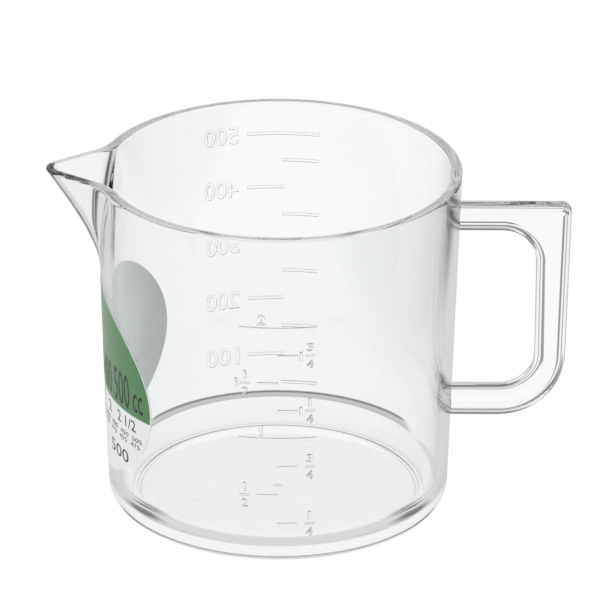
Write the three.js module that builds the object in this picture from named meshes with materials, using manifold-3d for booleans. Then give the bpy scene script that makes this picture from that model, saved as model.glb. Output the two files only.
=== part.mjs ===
// A clear moulded measuring cup of 500 cc, with a pinched pouring spout, a D-shaped handle, two raised
// scales and an oval label under the spout. Millimetres, +Z up, standing on z = 0 with the cup's axis on Z,
// the handle at +X, the spout at -X, the cc scale on the +Y wall and the cup scale on the -Y wall.
import * as THREE from 'three';
import { mergeVertices } from 'three/addons/utils/BufferGeometryUtils.js';
import Module from 'manifold-3d';

const wasm = await Module();
wasm.setup();

// Vessel
const cupHeight = 95.2;
const rimRadius = 48.5;
const baseRadius = 45.5; // where the tapered outside would meet the table
const wallThickness = 2.7;
const floorThickness = 3.4;
const baseCornerRadius = 5.5;
const floorFilletRadius = 7;
const rimEdgeRadius = 0.7;
const footWidth = 1; // flat ring that the cup stands on, outside the groove in the underside
const footGrooveWidth = 1.9;
const footGrooveDepth = 0.4;
const footGrooveDraft = 0.25;

// Spout, pinched out of the wall at the rim
const spoutReach = 13.7; // tip beyond the rim's circle
const spoutDrop = 29.2; // rim down to where the pinch begins
const spoutSlopeDrop = 20; // rim down to where the ridge's straight slope, carried on, meets the wall
const spoutHalfAngle = THREE.MathUtils.degToRad(36.6);
const spoutNoseRadius = 5.4;
const spoutBlend = 3; // width of the soft corner between the spout and the round wall

// Handle, a rounded bar bent into a D
const handleBelowRim = 9.8;
const handleHeight = 61.4;
const handleWidth = 6.3;
const handleEdgeRadius = 2.4;
const topBarHeight = 7.5;
const lowBarHeight = 8.4;
const fingerGap = 20.1; // rim's radius to the inside of the grip
const gripDepth = 9.2;
const gripTaper = 1.3; // how much thinner the grip is at the bottom
const gripCornerRadius = 2.5;
const heelRadius = 18;
const innerTopRadius = 9;
const innerLowRadius = 9.5;
const rootGap = 0.3; // handle to wall

// Label film under the spout
const labelHeight = 52.8;
const labelArc = 73.6; // width along the wall
const labelCentreHeight = 37.5;
const labelOffCentre = 0.9; // stuck on this far toward the +Y wall
const labelFilm = 0.2;
const labelGap = 0.2; // film to wall

// Raised scales
const markRaise = 0.35;
const markLine = 0.8;
const scaleStep = 50; // cc from one line to the next
const scaleLines = 10;
const hundredsTick = [-9, 1.3]; // from and to, along X
const fiftiesTick = [0.8, 11];
const fullTick = [-9, 11.2];
const cupVolume = 200; // cc in one cup
const quarterLines = 8; // quarters of a cup
const wholeCupTick = [-10.5, 10];
const halfCupTick = [-5.7, -0.1];
const quarterCupTick = [-0.3, 5];

// Fineness of the curves
const turnSteps = 96;
const cornerSteps = 5;
const spoutSteps = 8;
const handleCurveSteps = 8;
const bevelSteps = 4;
const labelOutlineSteps = 64;
const fillSlice = 0.05; // slice of water in the volume sum

const clearPlastic = { color: 0xf2f5f4, roughness: 0.08, metalness: 0, transparent: true, opacity: 0.35 };
const labelPrint = { color: 0x5aa83c, roughness: 0.35, metalness: 0 };

function wallRadius(height) {
  return baseRadius + (rimRadius - baseRadius) * height / cupHeight;
}

// Turns a closed geometry into a solid that can be joined and cut.
function solidOf(geometry) {
  const bare = geometry.clone();
  bare.deleteAttribute('normal');
  bare.deleteAttribute('uv');
  const merged = mergeVertices(bare, 1e-4);
  const corners = merged.index.array;
  const triangles = [];
  for (let i = 0; i < corners.length; i += 3) {
    const [a, b, c] = [corners[i], corners[i + 1], corners[i + 2]];
    if (a !== b && b !== c && c !== a) triangles.push(a, b, c);
  }
  return new wasm.Manifold(new wasm.Mesh({
    numProp: 3,
    vertProperties: new Float32Array(merged.attributes.position.array),
    triVerts: new Uint32Array(triangles),
  }));
}

function geometryOf(solid) {
  const mesh = solid.getMesh();
  const geometry = new THREE.BufferGeometry();
  geometry.setAttribute('position', new THREE.BufferAttribute(mesh.vertProperties, 3));
  geometry.setIndex(new THREE.BufferAttribute(mesh.triVerts, 1));
  geometry.computeVertexNormals();
  return geometry;
}

// A body turned about Z from [radius, height] points. Its first column of points lies on the -Y side.
function turned(profile) {
  const points = profile.map(([radius, height]) => new THREE.Vector2(radius, height));
  return new THREE.LatheGeometry(points, turnSteps).rotateX(Math.PI / 2);
}

// Points of a quarter arc or less, from one angle to another about a centre in [radius, height].
function arc(radius, height, size, from, to, steps = cornerSteps) {
  const points = [];
  for (let i = 0; i <= steps; i += 1) {
    const angle = from + (to - from) * i / steps;
    points.push([radius + size * Math.cos(angle), height + size * Math.sin(angle)]);
  }
  return points;
}

// The spout's ridge is a parabola from the wall to the tip. This is its height at a share of the way up.
function ridgeHeight(share) {
  const start = cupHeight - spoutDrop;
  const bend = cupHeight - spoutSlopeDrop;
  return (1 - share) ** 2 * start + 2 * share * (1 - share) * bend + share ** 2 * cupHeight;
}

// How far the ridge stands off the wall at a height.
function ridgeReach(height) {
  const start = cupHeight - spoutDrop;
  const bend = cupHeight - spoutSlopeDrop;
  const rise = height - start;
  if (rise <= 0) return 0;
  const square = start - 2 * bend + cupHeight;
  const linear = 2 * (bend - start);
  const share = 2 * rise / (linear + Math.sqrt(linear ** 2 + 4 * square * rise));
  return spoutReach * share ** 2;
}

// Distance from the axis to the wall's inner or outer face, at an angle off the spout's middle, where the round
// part of that face has this radius.
function sectionRadius(angle, height, radius) {
  const reach = ridgeReach(height);
  const flankNormal = Math.PI / 2 - spoutHalfAngle;
  if (reach === 0 || Math.abs(angle) > flankNormal) return radius;
  const inset = wallRadius(height) - radius;
  const nose = Math.max(spoutNoseRadius - inset, 0);
  const noseCentre = wallRadius(height) + reach - spoutNoseRadius;
  const flank = (noseCentre * Math.sin(spoutHalfAngle) + nose) / Math.cos(Math.abs(angle) - flankNormal);
  const across = noseCentre * Math.sin(angle);
  const noseArc = noseCentre * Math.cos(angle) + Math.sqrt(Math.max(nose ** 2 - across ** 2, 0));
  const onNose = Math.abs(noseArc * Math.sin(angle)) < nose * Math.sin(flankNormal) && Math.abs(across) < nose;
  const pinched = onNose ? noseArc : flank;
  const blend = Math.min(spoutBlend, reach);
  const overlap = Math.max(blend - Math.abs(pinched - radius), 0);
  return Math.max(pinched, radius) + overlap ** 2 / (4 * blend);
}

// Pushes the turned vessel's wall out into the spout.
function pinchSpout(geometry) {
  const positions = geometry.attributes.position;
  for (let i = 0; i < positions.count; i += 1) {
    const [x, y, z] = [positions.getX(i), positions.getY(i), positions.getZ(i)];
    const radius = Math.hypot(x, y);
    if (radius > 0) {
      const angle = Math.atan2(y, -x);
      const scale = sectionRadius(angle, z, radius) / radius;
      positions.setXY(i, x * scale, y * scale);
    }
  }
  return geometry;
}

function wallHeights(from) {
  const heights = [];
  for (let i = 0; i <= spoutSteps; i += 1) {
    heights.push(ridgeHeight(i / spoutSteps));
  }
  return heights.filter((height) => height > from && height < cupHeight - rimEdgeRadius * 1.5);
}

function innerRadius(height) {
  const wall = wallRadius(height) - wallThickness;
  const belowFillet = floorThickness + floorFilletRadius - height;
  if (belowFillet <= 0) return wall;
  return wall - floorFilletRadius + Math.sqrt(Math.max(floorFilletRadius ** 2 - belowFillet ** 2, 0));
}

// Height above the table at which the cup holds this much.
function fillHeight(cubicCentimetres) {
  let height = floorThickness;
  let filled = 0;
  while (filled < cubicCentimetres * 1000 && height < cupHeight) {
    filled += Math.PI * innerRadius(height + fillSlice / 2) ** 2 * fillSlice;
    height += fillSlice;
  }
  return height;
}

function vessel() {
  const innerStart = floorThickness + floorFilletRadius;
  const innerFloorRadius = wallRadius(innerStart) - wallThickness - floorFilletRadius;
  const outerFloorRadius = wallRadius(baseCornerRadius) - baseCornerRadius;
  const grooveOuter = outerFloorRadius - footWidth;
  const grooveInner = grooveOuter - footGrooveWidth;
  const outside = wallHeights(baseCornerRadius).map((height) => [wallRadius(height), height]);
  const inside = wallHeights(innerStart).map((height) => [wallRadius(height) - wallThickness, height]);
  const rimOuter = rimRadius - rimEdgeRadius;
  const rimInner = rimRadius - wallThickness + rimEdgeRadius;
  const rimCentre = cupHeight - rimEdgeRadius;
  const profile = [
    [0, 0],
    [grooveInner, 0],
    [grooveInner + footGrooveDraft, footGrooveDepth],
    [grooveOuter - footGrooveDraft, footGrooveDepth],
    [grooveOuter, 0],
    ...arc(outerFloorRadius, baseCornerRadius, baseCornerRadius, -Math.PI / 2, 0),
    ...outside,
    ...arc(rimOuter, rimCentre, rimEdgeRadius, 0, Math.PI / 2, 2),
    ...arc(rimInner, rimCentre, rimEdgeRadius, Math.PI / 2, Math.PI, 2),
    ...inside.reverse(),
    ...arc(innerFloorRadius, innerStart, floorFilletRadius, 0, -Math.PI / 2),
    [0, floorThickness],
  ];
  return pinchSpout(turned(profile));
}

// One raised line of a scale, on the +Y wall for side 1 and on the -Y wall for side -1.
function mark(volume, [from, to], side) {
  const height = fillHeight(volume);
  const low = height - markLine / 2;
  const high = height + markLine / 2;
  const outer = wallRadius(height) + markRaise;
  const inner = wallRadius(height) - wallThickness / 2;
  const ring = turned([[inner, low], [outer, low], [outer, high], [inner, high], [inner, low]]);
  const reach = rimRadius * 2;
  const window = new THREE.BoxGeometry(to - from, reach, markLine * 2);
  window.translate((from + to) / 2, side * reach / 2, height);
  return solidOf(ring).intersect(solidOf(window));
}

function scaleMarks() {
  const marks = [];
  for (let line = 1; line <= scaleLines; line += 1) {
    const wholeHundred = line % 2 === 0;
    const tick = wholeHundred ? hundredsTick : fiftiesTick;
    marks.push(mark(line * scaleStep, line === scaleLines ? fullTick : tick, 1));
  }
  for (let quarter = 1; quarter <= quarterLines; quarter += 1) {
    const halfOrWhole = quarter % 4 === 0 ? wholeCupTick : halfCupTick;
    const tick = quarter % 2 === 0 ? halfOrWhole : quarterCupTick;
    marks.push(mark(quarter * cupVolume / 4, tick, -1));
  }
  return marks;
}

function cupBody() {
  const plain = solidOf(vessel());
  return geometryOf(scaleMarks().reduce((body, line) => body.add(line), plain));
}

// An outline whose [x, y, radius] corners are rounded by arcs.
function roundedOutline(corners) {
  const outline = new THREE.Shape();
  corners.forEach(([x, y, radius], i) => {
    const corner = new THREE.Vector2(x, y);
    const [beforeX, beforeY] = corners[(i + corners.length - 1) % corners.length];
    const [afterX, afterY] = corners[(i + 1) % corners.length];
    const back = new THREE.Vector2(beforeX, beforeY).sub(corner).normalize();
    const ahead = new THREE.Vector2(afterX, afterY).sub(corner).normalize();
    const halfAngle = Math.acos(back.dot(ahead)) / 2;
    const start = back.clone().multiplyScalar(radius / Math.tan(halfAngle)).add(corner);
    const end = ahead.clone().multiplyScalar(radius / Math.tan(halfAngle)).add(corner);
    const centre = back.clone().add(ahead).normalize().multiplyScalar(radius / Math.sin(halfAngle)).add(corner);
    if (i === 0) outline.moveTo(start.x, start.y);
    else outline.lineTo(start.x, start.y);
    if (radius > 0) {
      const fromAngle = start.sub(centre).angle();
      const toAngle = end.sub(centre).angle();
      outline.absarc(centre.x, centre.y, radius, fromAngle, toAngle, back.cross(ahead) > 0);
    }
  });
  outline.closePath();
  return outline;
}

function handle() {
  const top = cupHeight - handleBelowRim;
  const bottom = top - handleHeight;
  const innerFace = rimRadius + fingerGap;
  const outerTop = innerFace + gripDepth;
  const outerLow = outerTop - gripTaper;
  const buried = baseRadius - wallThickness;
  const outline = roundedOutline([
    [buried, bottom, 0],
    [outerLow, bottom, heelRadius],
    [outerTop, top, gripCornerRadius],
    [buried, top, 0],
    [buried, top - topBarHeight, 0],
    [innerFace, top - topBarHeight, innerTopRadius],
    [innerFace, bottom + lowBarHeight, innerLowRadius],
    [buried, bottom + lowBarHeight, 0],
  ]);
  const bar = new THREE.ExtrudeGeometry(outline, {
    depth: handleWidth - 2 * handleEdgeRadius,
    bevelThickness: handleEdgeRadius,
    bevelSize: handleEdgeRadius,
    bevelOffset: -handleEdgeRadius,
    bevelSegments: bevelSteps,
    curveSegments: handleCurveSteps,
  });
  bar.rotateX(Math.PI / 2);
  bar.translate(0, handleWidth / 2 - handleEdgeRadius, 0);
  const wall = turned([
    [0, 0],
    [wallRadius(0) + rootGap, 0],
    [wallRadius(cupHeight) + rootGap, cupHeight],
    [0, cupHeight],
  ]);
  return geometryOf(solidOf(bar).subtract(solidOf(wall)));
}

function label() {
  const low = labelCentreHeight - labelHeight / 2;
  const high = labelCentreHeight + labelHeight / 2;
  const under = (height) => wallRadius(height) + labelGap;
  const film = turned([
    [under(low), low],
    [under(low) + labelFilm, low],
    [under(high) + labelFilm, high],
    [under(high), high],
    [under(low), low],
  ]);
  const outline = new THREE.Shape();
  for (let i = 0; i < labelOutlineSteps; i += 1) {
    const turn = 2 * Math.PI * i / labelOutlineSteps;
    const height = labelCentreHeight + labelHeight / 2 * Math.sin(turn);
    const along = labelArc / 2 * Math.cos(turn) - labelOffCentre;
    const across = under(height) * Math.sin(along / under(height));
    if (i === 0) outline.moveTo(across, height);
    else outline.lineTo(across, height);
  }
  outline.closePath();
  const cutter = new THREE.ExtrudeGeometry(outline, { depth: rimRadius * 2, bevelEnabled: false });
  const towardSpout = new THREE.Matrix4().makeBasis(
    new THREE.Vector3(0, -1, 0),
    new THREE.Vector3(0, 0, 1),
    new THREE.Vector3(-1, 0, 0),
  );
  cutter.applyMatrix4(towardSpout);
  return geometryOf(solidOf(film).intersect(solidOf(cutter)));
}

function piece(name, geometry, look) {
  const mesh = new THREE.Mesh(geometry, new THREE.MeshStandardMaterial(look));
  mesh.name = name;
  return mesh;
}

const measuringCup = new THREE.Group();
measuringCup.add(piece('cup_body', cupBody(), clearPlastic));
measuringCup.add(piece('handle', handle(), clearPlastic));
measuringCup.add(piece('label', label(), labelPrint));

export default measuringCup;
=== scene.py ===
import math

import bmesh
import bpy
from mathutils import Euler, Matrix, Vector


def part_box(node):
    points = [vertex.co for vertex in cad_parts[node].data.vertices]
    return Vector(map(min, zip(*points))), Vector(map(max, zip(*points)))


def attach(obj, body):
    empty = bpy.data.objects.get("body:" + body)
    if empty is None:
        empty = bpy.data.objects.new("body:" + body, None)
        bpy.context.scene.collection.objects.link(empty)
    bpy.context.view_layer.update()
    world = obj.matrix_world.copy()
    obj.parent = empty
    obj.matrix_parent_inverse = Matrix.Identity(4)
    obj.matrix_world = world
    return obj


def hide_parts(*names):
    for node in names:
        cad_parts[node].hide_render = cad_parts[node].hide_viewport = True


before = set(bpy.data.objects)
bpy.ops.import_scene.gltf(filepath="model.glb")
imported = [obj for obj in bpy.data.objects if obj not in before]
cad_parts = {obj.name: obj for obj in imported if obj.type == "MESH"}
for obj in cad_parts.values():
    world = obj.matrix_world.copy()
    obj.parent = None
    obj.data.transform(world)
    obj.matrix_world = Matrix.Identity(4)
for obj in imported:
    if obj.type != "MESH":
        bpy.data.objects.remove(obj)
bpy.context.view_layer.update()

bpy.ops.object.select_all(action="DESELECT")

# The cup's wall, floor and spout: the main part of one clear injection moulding in hard plastic.
# The wall tapers so that it leaves the mould, which pinches it out at the rim into a pouring spout.
# Plastic goes in at a small gate mark under the floor, and a groove in the underside leaves a foot.
mm = 0.001
cup_low, cup_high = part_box("cup_body")
cup_height = cup_high[2]
rim_radius = -cup_low[1]
base_radius = 45.5 * mm
wall_thickness = 2.7 * mm
floor_thickness = 3.4 * mm
base_corner_radius = 5.5 * mm
floor_fillet_radius = 7 * mm
rim_edge_radius = 0.7 * mm
gate_mark_radius = 1.3 * mm
gate_mark_inner_radius = 0.78 * mm
gate_mark_depth = 0.3 * mm
foot_width = 1 * mm
groove_width = 1.9 * mm
groove_depth = 0.4 * mm
groove_draft = 0.25 * mm
spout_reach = 13.7 * mm
spout_drop = 29.2 * mm
spout_slope_drop = 20 * mm
spout_half_angle = math.radians(36.6)
spout_nose_radius = 5.4 * mm
spout_blend = 3 * mm
turn_steps = 240
spout_crowding = 0.55
corner_steps = 10
rim_steps = 5
wall_step = 6 * mm
spout_step = 1.2 * mm
rim_gap = 1.5 * spout_step
guard_step = 0.25 * mm
weld_distance = 0.001 * mm


def wall_radius(height):
    return base_radius + (rim_radius - base_radius) * height / cup_height


def arc_rings(radius, height, size, start, end, steps):
    rings = []
    for i in range(steps + 1):
        angle = math.radians(start + (end - start) * i / steps)
        rings.append((radius + size * math.cos(angle), height + size * math.sin(angle)))
    return rings


def ridge_reach(height):
    start = cup_height - spout_drop
    bend = cup_height - spout_slope_drop
    rise = height - start
    if rise <= 0:
        return 0
    square = start - 2 * bend + cup_height
    linear = 2 * (bend - start)
    share = 2 * rise / (linear + math.sqrt(linear ** 2 + 4 * square * rise))
    return spout_reach * share ** 2


def section_radius(angle, height, radius):
    reach = ridge_reach(height)
    flank_normal = math.pi / 2 - spout_half_angle
    if reach <= 0 or abs(angle) > flank_normal:
        return radius
    nose = max(spout_nose_radius - (wall_radius(height) - radius), 0)
    nose_centre = wall_radius(height) + reach - spout_nose_radius
    flank = (nose_centre * math.sin(spout_half_angle) + nose) / math.cos(abs(angle) - flank_normal)
    across = nose_centre * math.sin(angle)
    nose_arc = nose_centre * math.cos(angle) + math.sqrt(max(nose ** 2 - across ** 2, 0))
    on_nose = abs(nose_arc * math.sin(angle)) < nose * math.sin(flank_normal) and abs(across) < nose
    pinched = nose_arc if on_nose else flank
    blend = min(spout_blend, reach)
    overlap = max(blend - abs(pinched - radius), 0)
    return max(pinched, radius) + overlap ** 2 / (4 * blend)


def wall_heights(low, high):
    heights = [low + guard_step]
    coarse_end = cup_height - spout_drop - wall_step
    while heights[-1] < high - rim_gap:
        step = wall_step if heights[-1] < coarse_end else spout_step
        heights.append(heights[-1] + step)
    return heights


fillet_top = floor_thickness + floor_fillet_radius
inner_floor_radius = wall_radius(fillet_top) - wall_thickness - floor_fillet_radius
outer_floor_radius = wall_radius(base_corner_radius) - base_corner_radius
groove_outer = outer_floor_radius - foot_width
groove_inner = groove_outer - groove_width
rim_centre = cup_height - rim_edge_radius
rim_outer = rim_radius - rim_edge_radius
rim_inner = rim_radius - wall_thickness + rim_edge_radius
outer_rings = [(wall_radius(z), z) for z in wall_heights(base_corner_radius, rim_centre)]
inner_rings = [(wall_radius(z) - wall_thickness, z) for z in wall_heights(fillet_top, rim_centre)]
cup_rings = [
    (gate_mark_inner_radius, gate_mark_depth),
    (gate_mark_radius, 0),
    (gate_mark_radius + guard_step, 0),
    (groove_inner, 0),
    (groove_inner + groove_draft, groove_depth),
    (groove_outer - groove_draft, groove_depth),
    (groove_outer, 0),
    (outer_floor_radius - guard_step, 0),
]
cup_rings += arc_rings(outer_floor_radius, base_corner_radius, base_corner_radius, -90, 0, corner_steps)
cup_rings += outer_rings
cup_rings += arc_rings(rim_outer, rim_centre, rim_edge_radius, 0, 90, rim_steps)
cup_rings += arc_rings(rim_inner, rim_centre, rim_edge_radius, 90, 180, rim_steps)
cup_rings += reversed(inner_rings)
cup_rings += arc_rings(inner_floor_radius, fillet_top, floor_fillet_radius, 0, -90, corner_steps)
cup_rings += [(inner_floor_radius - guard_step, floor_thickness), (gate_mark_radius, floor_thickness)]

last_radius, last_height = cup_rings[0]
bpy.ops.mesh.primitive_circle_add(
    vertices=turn_steps, radius=last_radius, fill_type="TRIFAN", location=(0, 0, last_height))
cup = bpy.context.object
cup.name = "clear_cup"
bpy.ops.object.transform_apply(location=True, rotation=True, scale=True)
bpy.ops.object.mode_set(mode="EDIT")
bpy.ops.mesh.select_mode(type="EDGE")
bpy.ops.mesh.select_all(action="SELECT")
bpy.ops.mesh.region_to_loop()
for ring_radius, ring_height in cup_rings[1:]:
    rise = ring_height - last_height
    growth = ring_radius / last_radius
    bpy.ops.mesh.extrude_region_move(TRANSFORM_OT_translate={"value": (0, 0, rise)})
    bpy.ops.transform.resize(value=(growth, growth, 1), center_override=(0, 0, ring_height))
    last_radius, last_height = ring_radius, ring_height
bpy.ops.mesh.edge_face_add()
bpy.ops.mesh.poke()
bpy.ops.mesh.select_all(action="SELECT")
bpy.ops.mesh.remove_doubles(threshold=weld_distance)
bpy.ops.mesh.normals_make_consistent(inside=False)
shaped = bmesh.from_edit_mesh(cup.data)
for vertex in shaped.verts:
    radius = math.hypot(vertex.co.x, vertex.co.y)
    if radius > 0:
        turn = math.atan2(vertex.co.y, -vertex.co.x)
        crowded = turn - spout_crowding * math.sin(turn)
        pushed = section_radius(crowded, vertex.co.z, radius)
        vertex.co.x = -pushed * math.cos(crowded)
        vertex.co.y = pushed * math.sin(crowded)
bmesh.update_edit_mesh(cup.data)
bpy.ops.object.mode_set(mode="OBJECT")

# The handle: a solid bar of the same plastic in the shape of a D, moulded in one with the wall.
# Its edges are rounded and its outer top corner is nearly square.
# Its two roots run into the wall and meet its outside at sharp lines.
handle_low, handle_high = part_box("handle")
handle_bottom = handle_low[2]
handle_top = handle_high[2]
handle_width = handle_high[1] - handle_low[1]
grip_outer = handle_high[0]
handle_edge_radius = 2.4 * mm
top_bar_height = 7.5 * mm
low_bar_height = 8.4 * mm
grip_depth = 9.2 * mm
grip_taper = 1.3 * mm
grip_corner_radius = 2.5 * mm
heel_radius = 18 * mm
inner_top_radius = 9 * mm
inner_low_radius = 9.5 * mm
root_cover = 0.3 * mm
outline_start_size = 1 * mm
handle_arc_steps = 14
edge_steps = 8
edge_angle = math.radians(50)
edge_slot = 1


def root_place(height):
    return wall_radius(height) - wall_thickness + root_cover


def select_only(piece):
    bpy.ops.object.select_all(action="DESELECT")
    piece.select_set(True)
    bpy.context.view_layer.objects.active = piece


def round_corners(corners, steps):
    points = []
    for i, (x, z, radius) in enumerate(corners):
        corner = Vector((x, z))
        back = (Vector(corners[i - 1][:2]) - corner).normalized()
        ahead = (Vector(corners[(i + 1) % len(corners)][:2]) - corner).normalized()
        half_angle = back.angle(ahead) / 2
        centre = corner + (back + ahead).normalized() * radius / math.sin(half_angle)
        spoke = corner + back * radius / math.tan(half_angle) - centre
        sweep = (math.pi - 2 * half_angle) * (1 if back.cross(ahead) < 0 else -1)
        for k in range(steps + 1 if radius > 0 else 1):
            points.append(centre + Matrix.Rotation(sweep * k / steps, 2) @ spoke)
    return points


def fuse(base, extra):
    select_only(base)
    bpy.ops.object.modifier_add(type="BOOLEAN")
    union = base.modifiers[-1]
    union.operation = "UNION"
    union.solver = "MANIFOLD"
    union.object = extra
    bpy.ops.object.modifier_apply(modifier=union.name)
    bpy.data.objects.remove(extra)


grip_inner = grip_outer - grip_depth
top_bar_under = handle_top - top_bar_height
low_bar_top = handle_bottom + low_bar_height
handle_outline = round_corners([
    (root_place(handle_bottom), handle_bottom, 0),
    (grip_outer - grip_taper, handle_bottom, heel_radius),
    (grip_outer, handle_top, grip_corner_radius),
    (root_place(handle_top), handle_top, 0),
    (root_place(top_bar_under), top_bar_under, 0),
    (grip_inner, top_bar_under, inner_top_radius),
    (grip_inner, low_bar_top, inner_low_radius),
    (root_place(low_bar_top), low_bar_top, 0),
], handle_arc_steps)
bpy.ops.object.select_all(action="DESELECT")
start = handle_outline[0]
bpy.ops.mesh.primitive_plane_add(
    size=outline_start_size, location=(start.x, -handle_width / 2, start.y))
handle = bpy.context.object
handle.name = "handle_bar"
bpy.ops.object.transform_apply(location=True, rotation=True, scale=True)
bpy.ops.object.mode_set(mode="EDIT")
bpy.ops.mesh.select_mode(type="VERT")
bpy.ops.mesh.select_all(action="SELECT")
bpy.ops.mesh.merge(type="CENTER")
for before, after in zip(handle_outline, handle_outline[1:]):
    step = (after.x - before.x, 0, after.y - before.y)
    bpy.ops.mesh.extrude_vertices_move(TRANSFORM_OT_translate={"value": step})
bpy.ops.mesh.select_all(action="SELECT")
bpy.ops.mesh.edge_face_add()
bpy.ops.mesh.extrude_region_move(TRANSFORM_OT_translate={"value": (0, handle_width, 0)})
bpy.ops.mesh.select_all(action="SELECT")
bpy.ops.mesh.normals_make_consistent(inside=False)
bpy.ops.object.mode_set(mode="OBJECT")
clear_plastic = bpy.data.materials.new("clear_plastic")
clear_edge = bpy.data.materials.new("clear_edge")
mark_side = bpy.data.materials.new("mark_side")
plastics = (clear_plastic, clear_edge, mark_side)
for moulded in (cup, handle):
    for plastic in plastics:
        moulded.data.materials.append(plastic)
select_only(handle)
bpy.ops.object.modifier_add(type="BEVEL")
soften = handle.modifiers[-1]
soften.material = edge_slot
soften.width = handle_edge_radius
soften.segments = edge_steps
soften.limit_method = "ANGLE"
soften.angle_limit = edge_angle
soften.use_clamp_overlap = False
bpy.ops.object.modifier_apply(modifier=soften.name)
fuse(cup, handle)

# The scale lines: low bars raised on the outside of the wall by grooves cut in the mould.
# The cc scale is on the back wall, with a line every 50 cc.
# The cup scale is on the front wall, with a line for each quarter of a 200 cc cup.
line_raise = 0.35 * mm
line_sink = 0.4 * mm
line_width = 0.8 * mm
line_edge = 0.12 * mm
line_edge_steps = 2
line_cuts = 9
back_wall = 1
front_wall = -1
full_volume = 500
line_volume = 50
number_volume = 100
quarter_volume = 50
quarter_count = 8
full_line = (-9 * mm, 11.2 * mm)
hundreds_line = (-9 * mm, 1.3 * mm)
fifties_line = (0.8 * mm, 11 * mm)
whole_cup_line = (-10.5 * mm, 10 * mm)
half_cup_line = (-5.7 * mm, -0.1 * mm)
quarter_cup_line = (-0.3 * mm, 5 * mm)
litre = 0.001
cc_in_litre = 1000
slice_height = 0.05 * mm
raised_pieces = []


def inner_radius(height):
    wall = wall_radius(height) - wall_thickness
    below = fillet_top - height
    if below <= 0:
        return wall
    return wall - floor_fillet_radius + math.sqrt(max(floor_fillet_radius ** 2 - below ** 2, 0))


def fill_height(cubic_centimetres):
    height = floor_thickness
    filled = 0
    while filled < cubic_centimetres * litre / cc_in_litre:
        filled += math.pi * inner_radius(height + slice_height / 2) ** 2 * slice_height
        height += slice_height
    return height


def wrap_on_wall(piece, side):
    for vertex in piece.data.vertices:
        along, out, height = vertex.co
        radius = wall_radius(height)
        vertex.co.x = (radius + out) * math.sin(along / radius)
        vertex.co.y = side * (radius + out) * math.cos(along / radius)


def raised_line(volume, start, end, side):
    middle = ((start + end) / 2, (line_raise - line_sink) / 2, fill_height(volume))
    bpy.ops.object.select_all(action="DESELECT")
    bpy.ops.mesh.primitive_cube_add(size=1, location=middle)
    line = bpy.context.object
    line.scale = (end - start, line_raise + line_sink, line_width)
    bpy.ops.object.transform_apply(location=True, rotation=True, scale=True)
    bpy.ops.object.mode_set(mode="EDIT")
    bpy.ops.mesh.select_mode(type="EDGE")
    bar = bmesh.from_edit_mesh(line.data)
    for edge in bar.edges:
        one, two = edge.verts
        edge.select = abs(one.co.x - two.co.x) > (end - start) / 2
    bar.select_flush_mode()
    bpy.ops.mesh.subdivide(number_cuts=line_cuts)
    bpy.ops.object.mode_set(mode="OBJECT")
    bpy.ops.object.modifier_add(type="BEVEL")
    soften = line.modifiers[-1]
    soften.width = line_edge
    soften.segments = line_edge_steps
    soften.limit_method = "ANGLE"
    bpy.ops.object.modifier_apply(modifier=soften.name)
    wrap_on_wall(line, side)
    raised_pieces.append(line)


for volume in range(line_volume, full_volume + 1, line_volume):
    if volume == full_volume:
        raised_line(volume, *full_line, back_wall)
    elif volume % number_volume == 0:
        raised_line(volume, *hundreds_line, back_wall)
    else:
        raised_line(volume, *fifties_line, back_wall)
for quarter in range(1, quarter_count + 1):
    if quarter % 4 == 0:
        raised_line(quarter * quarter_volume, *whole_cup_line, front_wall)
    elif quarter % 2 == 0:
        raised_line(quarter * quarter_volume, *half_cup_line, front_wall)
    else:
        raised_line(quarter * quarter_volume, *quarter_cup_line, front_wall)

# The scale numbers: plain numerals raised beside the lines by the same mould, to be read from outside.
# Hundreds stand by the cc lines, and whole cups and stacked fractions by the cup lines.
# The lines and numbers are then one with the wall, and their steep sides get a painted shade of their own.
number_raise = 0.3 * mm
number_sink = 0.3 * mm
number_slope = 0.22 * mm
number_curve_steps = 3
hundreds_size = (10 * mm, 5.2 * mm)
hundreds_middle = -16.5 * mm
whole_size = (2.2 * mm, 3.1 * mm)
whole_middle = -4.6 * mm
whole_above_line = 2.5 * mm
part_size = (1.8 * mm, 2.5 * mm)
part_above_line = 2.45 * mm
part_bar = (2.6 * mm, 0.45 * mm)
part_numbers = {1: ("1", "4"), 2: ("1", "2"), 3: ("3", "4")}
quarter_middle = 8.3 * mm
half_middle = -8.9 * mm
whole_beside_part = 2.4 * mm
font_digit_height = 0.7
font_depth = 0.01
narrow_one = 0.45
number_weld = 0.002 * mm
flat_enough = 0.9
mark_slot = 2


def number_mesh(text, size, depth, slope):
    bpy.ops.object.select_all(action="DESELECT")
    bpy.ops.object.text_add()
    number = bpy.context.object
    bevel = slope * font_digit_height / size[1]
    number.data.body = text
    number.data.resolution_u = number_curve_steps
    number.data.extrude = font_depth
    number.data.bevel_depth = bevel
    number.data.bevel_resolution = 1
    number.data.offset = -bevel / 2
    bpy.ops.object.convert(target="MESH")
    width = size[0] * (narrow_one if text == "1" else 1)
    corners = [vertex.co for vertex in number.data.vertices]
    low = [min(corner[axis] for corner in corners) for axis in range(3)]
    high = [max(corner[axis] for corner in corners) for axis in range(3)]
    for vertex in number.data.vertices:
        share = [(vertex.co[axis] - low[axis]) / (high[axis] - low[axis]) for axis in range(3)]
        vertex.co = ((share[0] - 0.5) * width, share[2] * depth, (share[1] - 0.5) * size[1])
    return number


def raised_number(text, size, middle, height, side):
    number = number_mesh(text, size, number_raise + number_sink, number_slope)
    for vertex in number.data.vertices:
        vertex.co.x = middle - side * vertex.co.x
        vertex.co.y -= number_sink
        vertex.co.z += height
    wrap_on_wall(number, side)
    raised_pieces.append(number)


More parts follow.
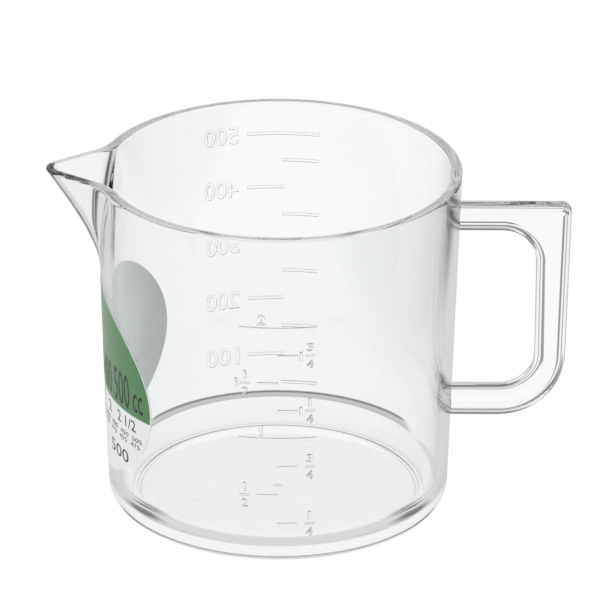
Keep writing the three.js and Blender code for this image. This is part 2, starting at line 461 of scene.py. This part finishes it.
def raised_bar(size, middle, height, side):
    bpy.ops.object.select_all(action="DESELECT")
    bpy.ops.mesh.primitive_cube_add(size=1, location=(middle, (number_raise - number_sink) / 2, height))
    bar = bpy.context.object
    bar.scale = (size[0], number_raise + number_sink, size[1])
    bpy.ops.object.transform_apply(location=True, rotation=True, scale=True)
    wrap_on_wall(bar, side)
    raised_pieces.append(bar)


def join_pieces(pieces):
    select_only(pieces[0])
    for piece in pieces:
        piece.select_set(True)
    bpy.ops.object.join()


for volume in range(number_volume, full_volume + 1, number_volume):
    raised_number(str(volume), hundreds_size, hundreds_middle, fill_height(volume), back_wall)
for quarter in range(1, quarter_count + 1):
    line_height = fill_height(quarter * quarter_volume)
    whole, part = divmod(quarter, 4)
    if part == 0:
        raised_number(str(whole), whole_size, whole_middle, line_height + whole_above_line, front_wall)
        continue
    top, bottom = part_numbers[part]
    middle = half_middle if part == 2 else quarter_middle
    if whole:
        raised_number(str(whole), part_size, middle - whole_beside_part, line_height, front_wall)
    raised_number(top, part_size, middle, line_height + part_above_line, front_wall)
    raised_bar(part_bar, middle, line_height, front_wall)
    raised_number(bottom, part_size, middle, line_height - part_above_line, front_wall)
raised_scale = raised_pieces[0]
join_pieces(raised_pieces)
bpy.ops.object.mode_set(mode="EDIT")
bpy.ops.mesh.select_all(action="SELECT")
bpy.ops.mesh.remove_doubles(threshold=number_weld)
bpy.ops.mesh.normals_make_consistent(inside=False)
bpy.ops.object.mode_set(mode="OBJECT")
for plastic in plastics:
    raised_scale.data.materials.append(plastic)
# The steep sides of the marks take the darker painted shade.
for face in raised_scale.data.polygons:
    away = Vector((face.center.x, face.center.y, 0)).normalized()
    face.material_index = mark_slot if abs(face.normal.dot(away)) < flat_enough else 0
fuse(cup, raised_scale)

# The clear plastic: colourless and glossy as it left the polished mould, with a little haze from washing.
# Its colour is painted darker where it is seen edge-on, a painted shade. The handle's rounded edges have
# thin painted dark lines by facing angle, and the steep sides of the raised marks are painted darker, a
# painted shade, so that the scales can be read.
plastic_bending = 1.53
plastic_red = 0.99
plain_facing = 0.5
painted_edge_on_shade_stops = [(0.0, 0.985), (0.6, 0.97), (0.85, 0.8), (1.0, 0.35)]
# Painted shade: two narrow dark bands by facing angle draw lines along the handle's rounded edges.
painted_edge_line_stops = [(0.0, 0.985), (0.083, 0.97), (0.09, 0.1), (0.12, 0.1), (0.135, 0.97), (0.19, 0.97),
              (0.21, 0.2), (0.26, 0.2), (0.29, 0.97), (0.55, 0.95), (0.7, 0.6), (1.0, 0.2)]
mark_side_painted_shade = (0.24, 0.25, 0.25, 1)
haze_scale = 60
haze_detail = 4
haze_patches = (0.45, 0.75)
haze_roughness = (0, 0.03)
moulding_smooth_angle = math.radians(32)


def clear_shader(material):
    material.use_nodes = True
    shader = material.node_tree.nodes["Principled BSDF"]
    shader.inputs["Transmission Weight"].default_value = 1
    shader.inputs["IOR"].default_value = plastic_bending
    shader.inputs["Roughness"].default_value = 0
    return shader


def tone_ramp(tree, value, stops, red=1):
    ramp = tree.nodes.new("ShaderNodeValToRGB")
    for i, (place, tone) in enumerate(stops):
        stop = ramp.color_ramp.elements[i] if i < 2 else ramp.color_ramp.elements.new(place)
        stop.position = place
        stop.color = (tone * red, tone, tone, 1)
    tree.links.new(value, ramp.inputs["Fac"])
    return ramp.outputs["Color"]


def fade(tree, value, none_at, full_at, none=0, full=1):
    spread = tree.nodes.new("ShaderNodeMapRange")
    spread.inputs["From Min"].default_value = none_at
    spread.inputs["From Max"].default_value = full_at
    spread.inputs["To Min"].default_value = none
    spread.inputs["To Max"].default_value = full
    tree.links.new(value, spread.inputs["Value"])
    return spread.outputs["Result"]


# Painted shade: each clear material's colour follows its tone stops by facing angle, darker edge-on.
for plastic, stops in ((clear_plastic, painted_edge_on_shade_stops), (clear_edge, painted_edge_line_stops)):
    shader = clear_shader(plastic)
    tree = plastic.node_tree
    edge_on = tree.nodes.new("ShaderNodeLayerWeight")
    edge_on.inputs["Blend"].default_value = plain_facing
    facing_painted_shade = tone_ramp(tree, edge_on.outputs["Facing"], stops, plastic_red)
    tree.links.new(facing_painted_shade, shader.inputs["Base Color"])
# Painted shade: the marks' steep sides are the same clear plastic with a darker colour.
clear_shader(mark_side).inputs["Base Color"].default_value = mark_side_painted_shade
clear = clear_plastic.node_tree
clear_place = clear.nodes.new("ShaderNodeTexCoord")
haze = clear.nodes.new("ShaderNodeTexNoise")
haze.inputs["Scale"].default_value = haze_scale
haze.inputs["Detail"].default_value = haze_detail
clear.links.new(clear_place.outputs["Object"], haze.inputs["Vector"])
hazed = fade(clear, haze.outputs["Fac"], *haze_patches, *haze_roughness)
clear.links.new(hazed, clear.nodes["Principled BSDF"].inputs["Roughness"])
select_only(cup)
bpy.ops.object.shade_smooth_by_angle(angle=moulding_smooth_angle)
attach(cup, "root")
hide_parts("cup_body", "handle")

# The label: one oval of printed film stuck on the outside of the wall under the spout.
# Its upper part is printed green and its lower part is left white, with a narrow white margin all round
# and black numbers. Its plain back shows through the cup, with a painted glow, stronger towards one side,
# for the light that soaks through.
label_low, label_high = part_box("label")
label_middle = (label_low[2] + label_high[2]) / 2
label_half_height = (label_high[2] - label_low[2]) / 2
label_far_arc = wall_radius(label_middle) * math.asin(label_high[1] / wall_radius(label_middle))
label_near_arc = wall_radius(label_middle) * math.asin(-label_low[1] / wall_radius(label_middle))
label_half_arc = (label_near_arc + label_far_arc) / 2
label_off_centre = (label_near_arc - label_far_arc) / 2
label_film = 0.12 * mm
label_gap = 0.03 * mm
label_steps = 160
label_rings = 14
label_smooth_angle = math.radians(40)
print_border = 34.5 * mm
print_margin = 0.45 * mm
print_middle = 0.5
print_roughness = 0.28
label_white = (0.8, 0.82, 0.81, 1)
label_green = (0.07, 0.21, 0.075, 1)
back_slot = 1
back_roughness = 0.6
glue_scale = 70
glue_detail = 3
glue_stops = [(0.35, (0.84, 0.9, 0.87, 1)), (0.65, (0.93, 0.96, 0.945, 1))]
painted_glow_reach = (0.05, 0.42)
painted_glow_strength = (0.15, 0.4)
ink_colour = (0.012, 0.013, 0.013, 1)
ink_roughness = 0.35
ink_depth = 0.03 * mm
ink_sink = 0.01 * mm
chart_step = 11 * mm
chart_height = 40.6 * mm
chart_size = (9 * mm, 9.8 * mm)
cups_numbers = ["1/2", "1", "1 1/2", "2", "2 1/2"]
cups_widths = [6 * mm, 1.8 * mm, 9 * mm, 2.4 * mm, 10 * mm]
cups_shift = 2 * mm
cups_height = 31.7 * mm
cups_tall = 3.2 * mm
unit_place = (30.4 * mm, 38.9 * mm)
unit_size = (4.3 * mm, 5.2 * mm)
small_gap = "  "
small_middle = 1.5 * mm
fifties_height = 28 * mm
fifties_size = (60 * mm, 1.3 * mm)
between_start = 25
between_height = 26.1 * mm
between_size = (58 * mm, 1.3 * mm)
total_place = (18.9 * mm, 21 * mm)
total_size = (11.6 * mm, 3.6 * mm)
ink_pieces = []


def wrap_under_spout(along, out, height):
    radius = wall_radius(height) + out
    turn = along / wall_radius(height)
    return (-radius * math.cos(turn), -radius * math.sin(turn), height)


def new_finish(name, roughness):
    finish = bpy.data.materials.new(name)
    finish.use_nodes = True
    shader = finish.node_tree.nodes["Principled BSDF"]
    shader.inputs["Roughness"].default_value = roughness
    return finish, shader


def print_place(tree):
    place = tree.nodes.new("ShaderNodeUVMap")
    place.uv_map = "print"
    return place.outputs["UV"]


def split_axes(tree, place):
    split = tree.nodes.new("ShaderNodeSeparateXYZ")
    tree.links.new(place, split.inputs["Vector"])
    return split.outputs


def printed_number(text, middle, height, size):
    number = number_mesh(text, size, ink_depth, 0)
    film_face = label_film + label_gap - ink_sink
    for vertex in number.data.vertices:
        along, out, up = vertex.co
        vertex.co = wrap_under_spout(middle + along, film_face + out, height + up)
    number.data.materials.append(label_ink)
    ink_pieces.append(number)


bpy.ops.object.select_all(action="DESELECT")
bpy.ops.mesh.primitive_circle_add(vertices=label_steps, radius=1, fill_type="NOTHING", location=(0, 0, 0))
label = bpy.context.object
label.name = "oval_label"
bpy.ops.object.mode_set(mode="EDIT")
bpy.ops.mesh.select_mode(type="EDGE")
bpy.ops.mesh.select_all(action="SELECT")
for ring in range(label_rings, 1, -1):
    shrink = (ring - 1) / ring
    bpy.ops.mesh.extrude_region_move()
    bpy.ops.transform.resize(value=(shrink, shrink, 1), center_override=(0, 0, 0))
bpy.ops.mesh.edge_face_add()
bpy.ops.mesh.poke()
bpy.ops.mesh.select_all(action="SELECT")
bpy.ops.mesh.normals_make_consistent(inside=False)
flat = bmesh.from_edit_mesh(label.data)
print_map = flat.loops.layers.uv.new("print")
for face in flat.faces:
    for corner in face.loops:
        place = corner.vert.co / 2
        corner[print_map].uv = (print_middle + place.x, print_middle + place.y)
for vertex in flat.verts:
    along = label_off_centre + vertex.co.x * label_half_arc
    height = label_middle + vertex.co.y * label_half_height
    vertex.co = wrap_under_spout(along, label_gap, height)
outward = sum(face.normal.dot(face.calc_center_median()) for face in flat.faces)
if outward < 0:
    bmesh.ops.reverse_faces(flat, faces=flat.faces)
bmesh.update_edit_mesh(label.data)
bpy.ops.object.mode_set(mode="OBJECT")
bpy.ops.object.modifier_add(type="SOLIDIFY")
thicken = label.modifiers[-1]
thicken.thickness = label_film
thicken.offset = 1
bpy.ops.object.modifier_apply(modifier=thicken.name)

label_print, front_shader = new_finish("label_print", print_roughness)
front = label_print.node_tree
front_place = print_place(front)
print_ramp = front.nodes.new("ShaderNodeValToRGB")
print_ramp.color_ramp.interpolation = "CONSTANT"
print_ramp.color_ramp.elements[0].position = 0
print_ramp.color_ramp.elements[0].color = label_white
border_share = print_middle + (print_border - label_middle) / (2 * label_half_height)
print_ramp.color_ramp.elements[1].position = border_share
print_ramp.color_ramp.elements[1].color = label_green
from_print_middle = front.nodes.new("ShaderNodeVectorMath")
from_print_middle.operation = "DISTANCE"
from_print_middle.inputs[1].default_value = (print_middle, print_middle, 0)
on_margin = front.nodes.new("ShaderNodeMath")
on_margin.operation = "GREATER_THAN"
on_margin.inputs[1].default_value = print_middle - print_margin / (2 * label_half_arc)
margin_mix = front.nodes.new("ShaderNodeMix")
margin_mix.data_type = "RGBA"
margin_mix.inputs["B"].default_value = label_white
front.links.new(split_axes(front, front_place)["Y"], print_ramp.inputs["Fac"])
front.links.new(front_place, from_print_middle.inputs[0])
front.links.new(from_print_middle.outputs["Value"], on_margin.inputs[0])
front.links.new(on_margin.outputs["Value"], margin_mix.inputs["Factor"])
front.links.new(print_ramp.outputs["Color"], margin_mix.inputs["A"])
front.links.new(margin_mix.outputs["Result"], front_shader.inputs["Base Color"])

label_back, back_shader = new_finish("label_back", back_roughness)
back = label_back.node_tree
glue_place = back.nodes.new("ShaderNodeTexCoord")
glue_patches = back.nodes.new("ShaderNodeTexNoise")
glue_patches.inputs["Scale"].default_value = glue_scale
glue_patches.inputs["Detail"].default_value = glue_detail
glue_tone = back.nodes.new("ShaderNodeValToRGB")
for stop, (place, colour) in zip(glue_tone.color_ramp.elements, glue_stops):
    stop.position = place
    stop.color = colour
back.links.new(glue_place.outputs["Object"], glue_patches.inputs["Vector"])
back.links.new(glue_patches.outputs["Fac"], glue_tone.inputs["Fac"])
back.links.new(glue_tone.outputs["Color"], back_shader.inputs["Base Color"])
# Painted glow: the back gives off light in its own colour, stronger towards one side, for light soaking
# through the film.
back.links.new(glue_tone.outputs["Color"], back_shader.inputs["Emission Color"])
painted_glow = fade(back, split_axes(back, print_place(back))["X"], *painted_glow_reach, *painted_glow_strength)
back.links.new(painted_glow, back_shader.inputs["Emission Strength"])
label.data.materials.append(label_print)
label.data.materials.append(label_back)
for face in label.data.polygons:
    away = Vector((face.center.x, face.center.y, 0)).normalized()
    face.material_index = back_slot if face.normal.dot(away) < 0 else 0

label_ink, ink_shader = new_finish("label_ink", ink_roughness)
ink_shader.inputs["Base Color"].default_value = ink_colour
chart_volumes = range(number_volume, full_volume + 1, number_volume)
for i, (volume, cups, cups_width) in enumerate(zip(chart_volumes, cups_numbers, cups_widths)):
    middle = (i - 2) * chart_step
    printed_number(str(volume), middle, chart_height, chart_size)
    printed_number(cups, middle + cups_shift, cups_height, (cups_width, cups_tall))
fifties = small_gap.join(str(volume) for volume in range(line_volume, full_volume + 1, line_volume))
between = small_gap.join(str(volume) for volume in range(between_start, full_volume, line_volume))
printed_number("cc", *unit_place, unit_size)
printed_number(fifties, small_middle, fifties_height, fifties_size)
printed_number(between, small_middle, between_height, between_size)
printed_number(str(full_volume), *total_place, total_size)
join_pieces([label] + ink_pieces)
bpy.ops.object.mode_set(mode="EDIT")
bpy.ops.mesh.select_all(action="SELECT")
bpy.ops.mesh.remove_doubles(threshold=weld_distance)
bpy.ops.object.mode_set(mode="OBJECT")
bpy.ops.object.shade_smooth_by_angle(angle=label_smooth_angle)
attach(label, "root")
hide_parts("label")

# The floor: a plain table top that glows white like a light table, and fills the view from any side.
# Rays that the plastic bends or mirrors also see painted shadows of the rim and of the front wall on it.
# Those through one wall of plastic see a painted dark patch behind the handle, and mirrored ones see the
# table painted greyer and a painted dark room.
floor_radius = 30
floor_steps = 128
table_colour = (0.02, 0.02, 0.02, 1)
table_roughness = 0.9
glow_strength = 0.985
painted_dark_tone = 0.12
dark_patch_middle = (82 * mm, 420 * mm)
dark_patch_half = (30 * mm, 90 * mm)
dark_patch_fade = 10 * mm
two_faces = 2.5
mirror_tone = 0.72
sheet_middle = -80 * mm
sheet_half_width = 200 * mm
sheet_front = (-300 * mm, -500 * mm)
sheet_fade = 40 * mm
shadow_shift = 19 * mm
shadow_reach = 2 * rim_radius
rim_shadow = [(39.5 * mm, 0), (40.5 * mm, 0.55), (42 * mm, 0.42), (45.2 * mm, 0.45),
              (46 * mm, 0.85), (48 * mm, 0.85), (48.7 * mm, 0)]
rim_shadow_start = (30 * mm, 36 * mm)
rim_shadow_ends = (39.5 * mm, 37 * mm)
wall_shadow = [(47.5 * mm, 0), (49.5 * mm, 0.82), (56 * mm, 0.82), (58 * mm, 0)]
wall_shadow_start = (-10 * mm, -17 * mm)
wall_shadow_sides = (29 * mm, 35 * mm)


def calculate(tree, operation, first, second=0):
    step = tree.nodes.new("ShaderNodeMath")
    step.operation = operation
    for socket, value in zip(step.inputs, (first, second)):
        if isinstance(value, bpy.types.NodeSocket):
            tree.links.new(value, socket)
        else:
            socket.default_value = value
    return step.outputs["Value"]


def distance_from(tree, value, middle):
    return calculate(tree, "ABSOLUTE", calculate(tree, "SUBTRACT", value, middle))


bpy.ops.object.select_all(action="DESELECT")
bpy.ops.mesh.primitive_circle_add(
    vertices=floor_steps, radius=floor_radius, fill_type="NGON", location=(0, 0, 0))
table_top = bpy.context.object
table_top.name = "table_top"
white_table, table_shader = new_finish("white_table", table_roughness)
table = white_table.node_tree
table_shader.inputs["Base Color"].default_value = table_colour
table_shader.inputs["Specular IOR Level"].default_value = 0
table_shader.inputs["Emission Strength"].default_value = glow_strength
table_rays = table.nodes.new("ShaderNodeLightPath")
table_place = table.nodes.new("ShaderNodeTexCoord")
table_axes = split_axes(table, table_place.outputs["Object"])
table_x = table_axes["X"]
table_y = table_axes["Y"]
from_middle = calculate(table, "ABSOLUTE", table_x)
# Painted reflection: mirrored rays see the table greyer, and darker beside and in front of the sheet, as a
# dark room.
mirrored = calculate(table, "MINIMUM", table_rays.outputs["Glossy Depth"], 1)
from_sheet = distance_from(table, table_x, sheet_middle)
beside_sheet = fade(table, from_sheet, sheet_half_width, sheet_half_width + sheet_fade)
off_sheet = calculate(table, "MAXIMUM", beside_sheet, fade(table, table_y, *sheet_front))
painted_dark_room = calculate(table, "MULTIPLY", mirrored, off_sheet)
dimming = [calculate(table, "MULTIPLY", mirrored, 1 - mirror_tone)]
dimming.append(calculate(table, "MULTIPLY", painted_dark_room, 1 - painted_dark_tone))
# Painted shade: rays through the plastic see a dark patch painted on the table behind the handle, for the
# dark lines in the handle.
dark_patch_seen = calculate(table, "LESS_THAN", table_rays.outputs["Transmission Depth"], two_faces)
for place, middle, half in zip((table_x, table_y), dark_patch_middle, dark_patch_half):
    on_dark_patch = fade(table, distance_from(table, place, middle), half, half - dark_patch_fade)
    dark_patch_seen = calculate(table, "MULTIPLY", dark_patch_seen, on_dark_patch)
dimming.append(calculate(table, "MULTIPLY", dark_patch_seen, 1 - painted_dark_tone))
# Painted shadows: the rim's shadow moved back and two of the front wall, painted on the table for rays
# through the plastic.
from_shadow = table.nodes.new("ShaderNodeVectorMath")
from_shadow.operation = "DISTANCE"
from_shadow.inputs[1].default_value = (0, shadow_shift, 0)
table.links.new(table_place.outputs["Object"], from_shadow.inputs[0])
shadow_share = calculate(table, "DIVIDE", from_shadow.outputs["Value"], shadow_reach)
rim_area = (fade(table, table_y, *rim_shadow_start), fade(table, from_middle, *rim_shadow_ends))
wall_area = (fade(table, table_y, *wall_shadow_start), fade(table, from_middle, *wall_shadow_sides))
for stops, (begun, kept) in ((rim_shadow, rim_area), (wall_shadow, wall_area)):
    depth = tone_ramp(table, shadow_share, [(reach / shadow_reach, tone) for reach, tone in stops])
    dimming.append(calculate(table, "MULTIPLY", depth, calculate(table, "MULTIPLY", begun, kept)))
seen_through = 1
for loss in dimming:
    seen_through = calculate(table, "MULTIPLY", seen_through, calculate(table, "SUBTRACT", 1, loss))
plain_rays = calculate(
    table, "MAXIMUM", table_rays.outputs["Is Camera Ray"], table_rays.outputs["Diffuse Depth"])
table_tone = calculate(table, "MINIMUM", calculate(table, "MAXIMUM", seen_through, plain_rays), 1)
table.links.new(table_tone, table_shader.inputs["Emission Color"])
table_top.data.materials.append(white_table)

# The light: a dim studio with a white backdrop low behind the table. The camera itself sees only white.
# One soft lamp on the spout's side lights the label, and the plastic neither mirrors nor bends it.
sky_stops = [(0.0, 0.2), (0.1, 0.25), (0.3, 0.25), (0.62, 0.12), (1.0, 0.3)]
backdrop_side = (0.75, 0.85)
backdrop_top = (0.36, 0.3)
backdrop_white = (1, 1, 1, 1)
lamp_place = (-2.2, -0.8, 1.2)
lamp_size = 1.0
lamp_power = 30
studio = bpy.data.worlds.new("studio")
bpy.context.scene.world = studio
studio.use_nodes = True
room = studio.node_tree
sky = room.nodes["Background"]
sky_rays = room.nodes.new("ShaderNodeLightPath")
sky_place = room.nodes.new("ShaderNodeTexCoord")
sky_axes = split_axes(room, sky_place.outputs["Generated"])
sky_y = sky_axes["Y"]
sky_z = sky_axes["Z"]
backdrop = calculate(room, "MULTIPLY", fade(room, sky_y, *backdrop_side), fade(room, sky_z, *backdrop_top))
white_rays = calculate(room, "MAXIMUM", sky_rays.outputs["Is Camera Ray"], backdrop)
sky_mix = room.nodes.new("ShaderNodeMix")
sky_mix.data_type = "RGBA"
sky_mix.inputs["B"].default_value = backdrop_white
room.links.new(white_rays, sky_mix.inputs["Factor"])
room.links.new(tone_ramp(room, sky_z, sky_stops), sky_mix.inputs["A"])
room.links.new(sky_mix.outputs["Result"], sky.inputs["Color"])
sky.inputs["Strength"].default_value = 1
lamp_data = bpy.data.lights.new("soft_lamp", "AREA")
lamp_data.shape = "DISK"
lamp_data.size = lamp_size
lamp_data.energy = lamp_power
soft_lamp = bpy.data.objects.new("soft_lamp", lamp_data)
soft_lamp.location = lamp_place
soft_lamp.rotation_euler = Vector(lamp_place).to_track_quat("Z", "Y").to_euler()
soft_lamp.visible_glossy = False
soft_lamp.visible_transmission = False
bpy.context.collection.objects.link(soft_lamp)

# The camera: a long lens on the side of the cup scale, square to the line from the spout to the handle.
# It looks down at about 24 degrees, with the small turn and roll that were fitted to the photograph.
camera_place = (0, -1631.3 * mm, 785.5 * mm)
camera_turn = math.radians(0.198)
camera_tilt = math.radians(24.07)
camera_roll = math.radians(0.33)
sensor_width = 36
lens_length = 401.1
view_end = 100
most_bounces = 48
camera_data = bpy.data.cameras.new("camera")
camera_data.sensor_width = sensor_width
camera_data.lens = lens_length
camera_data.clip_end = view_end
camera = bpy.data.objects.new("camera", camera_data)
facing = Euler((math.pi / 2 - camera_tilt, 0, -camera_turn)).to_matrix()
camera.rotation_euler = (facing @ Matrix.Rotation(camera_roll, 3, "Z")).to_euler()
camera.location = camera_place
bpy.context.collection.objects.link(camera)
bpy.context.scene.camera = camera
bpy.context.scene.view_settings.view_transform = "Standard"
bpy.context.scene.cycles.max_bounces = most_bounces
bpy.context.scene.cycles.glossy_bounces = most_bounces
bpy.context.scene.cycles.transmission_bounces = most_bounces
